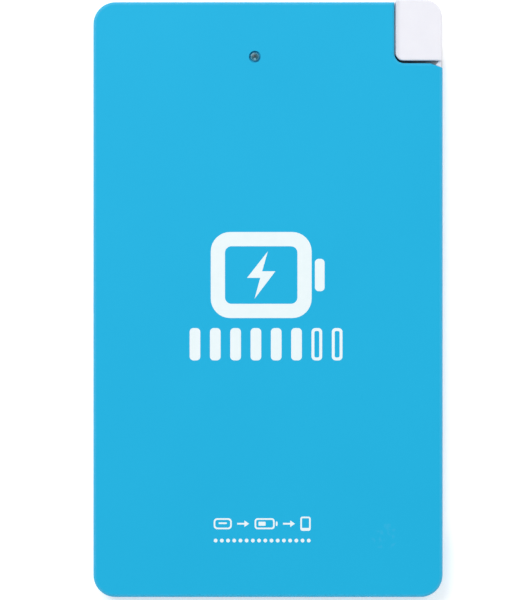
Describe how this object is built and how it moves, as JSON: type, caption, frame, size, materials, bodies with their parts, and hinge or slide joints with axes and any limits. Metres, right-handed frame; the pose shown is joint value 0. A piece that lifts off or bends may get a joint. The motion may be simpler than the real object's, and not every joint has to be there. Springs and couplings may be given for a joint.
{
  "type": "card power bank",
  "caption": "Slim card-shaped power bank with rounded corners and a white plug docked in a corner notch on a flat strap that lies in a side channel.",
  "frame": {"origin": "centre of the flat rear face that the card lies on", "axes": "+Z out of the front face, +Y up the card towards the indicator and the plug's end, +X towards the side with the strap channel"},
  "size_m": [0.054, 0.0925, 0.006],
  "materials": {
    "blue_plastic": "soft-touch moulded plastic",
    "clear_plastic": "clear polycarbonate",
    "black_foam": "closed-cell foam",
    "led_body": "LED package",
    "pouch_foil": "laminated pouch foil",
    "nickel_strip": "nickel-plated strip",
    "guard_board": "green solder mask",
    "board": "green solder mask",
    "chip_black": "moulded epoxy",
    "adhesive": "double-sided tape",
    "pad_foam": "foam sheet",
    "wire_red": "PVC insulation",
    "wire_black": "PVC insulation",
    "ferrite": "pressed ferrite",
    "tin_plate": "tin-plated",
    "ceramic": "ceramic body, tinned ends",
    "resistor": "thick-film resistor",
    "switch_body": "glass-filled nylon",
    "switch_plunger": "moulded plunger",
    "button_plastic": "moulded button",
    "shell_steel": "nickel-plated steel",
    "tongue_black": "liquid-crystal polymer",
    "contact_gold": "gold-plated contacts",
    "strap_white": "white elastomer",
    "plug_white": "white moulded elastomer"
  },
  "bodies": {
    "case": {"rear_cover": "blue_plastic", "front_cover": "blue_plastic", "light_pipe": "clear_plastic", "light_shroud": "black_foam", "indicator_led": "led_body", "battery_cell": "pouch_foil", "battery_terrace": "pouch_foil", "battery_tab_negative": "nickel_strip", "battery_tab_positive": "nickel_strip", "protection_board": "guard_board", "protection_transistor": "chip_black", "battery_tape": "adhesive", "foam_pad": "pad_foam", "battery_lead_red": "wire_red", "battery_lead_black": "wire_black", "main_board": "board", "charge_chip": "chip_black", "boost_chip": "chip_black", "power_inductor": "ferrite", "inductor_terminals": "tin_plate", "schottky_diode": "chip_black", "ceramic_capacitors": "ceramic", "chip_resistors": "resistor", "tact_switch": "switch_body", "input_socket_shell": "shell_steel", "input_socket_tongue": "tongue_black", "input_socket_contacts": "contact_gold", "output_lead_red": "wire_red", "output_lead_black": "wire_black", "strap_root": "strap_white"},
    "button": {"power_button": "button_plastic", "switch_plunger": "switch_plunger"},
    "strap_lower_link": {"strap_lower": "strap_white"},
    "strap_middle_link": {"strap_middle": "strap_white"},
    "strap_upper_link": {"strap_upper": "strap_white"},
    "plug": {"plug_overmold": "plug_white", "plug_shell": "shell_steel", "plug_tongue": "tongue_black", "plug_contacts": "contact_gold", "plug_latches": "tin_plate"}
  },
  "joints": [
    {"name": "strap_swing", "type": "hinge", "parent": "case", "child": "strap_lower_link", "pos_m": [0.0263, -0.0295, 0.003], "axis": [0, 0, -1], "range_deg": [0, 45]},
    {"name": "strap_bend_low", "type": "hinge", "parent": "strap_lower_link", "child": "strap_middle_link", "pos_m": [0.0263, -0.00756, 0.003], "axis": [0, 0, -1], "range_deg": [0, 23]},
    {"name": "strap_bend_high", "type": "hinge", "parent": "strap_middle_link", "child": "strap_upper_link", "pos_m": [0.0263, 0.01437, 0.003], "axis": [0, 0, -1], "range_deg": [0, 23]},
    {"name": "plug_turn", "type": "hinge", "parent": "strap_upper_link", "child": "plug", "pos_m": [0.0263, 0.03631, 0.003], "axis": [0, 0, -1], "range_deg": [-63.5, 0]},
    {"name": "button_press", "type": "slide", "parent": "case", "child": "button", "axis": [1, 0, 0], "range_m": [0, 0.0003], "stiffness_N_per_m": 1500}
  ],
  "couplings": [
    {"joint": "strap_bend_low", "follows": "strap_swing", "ratio": 0.5},
    {"joint": "strap_bend_high", "follows": "strap_swing", "ratio": 0.5},
    {"joint": "plug_turn", "follows": "strap_swing", "ratio": -1.4}
  ]
}
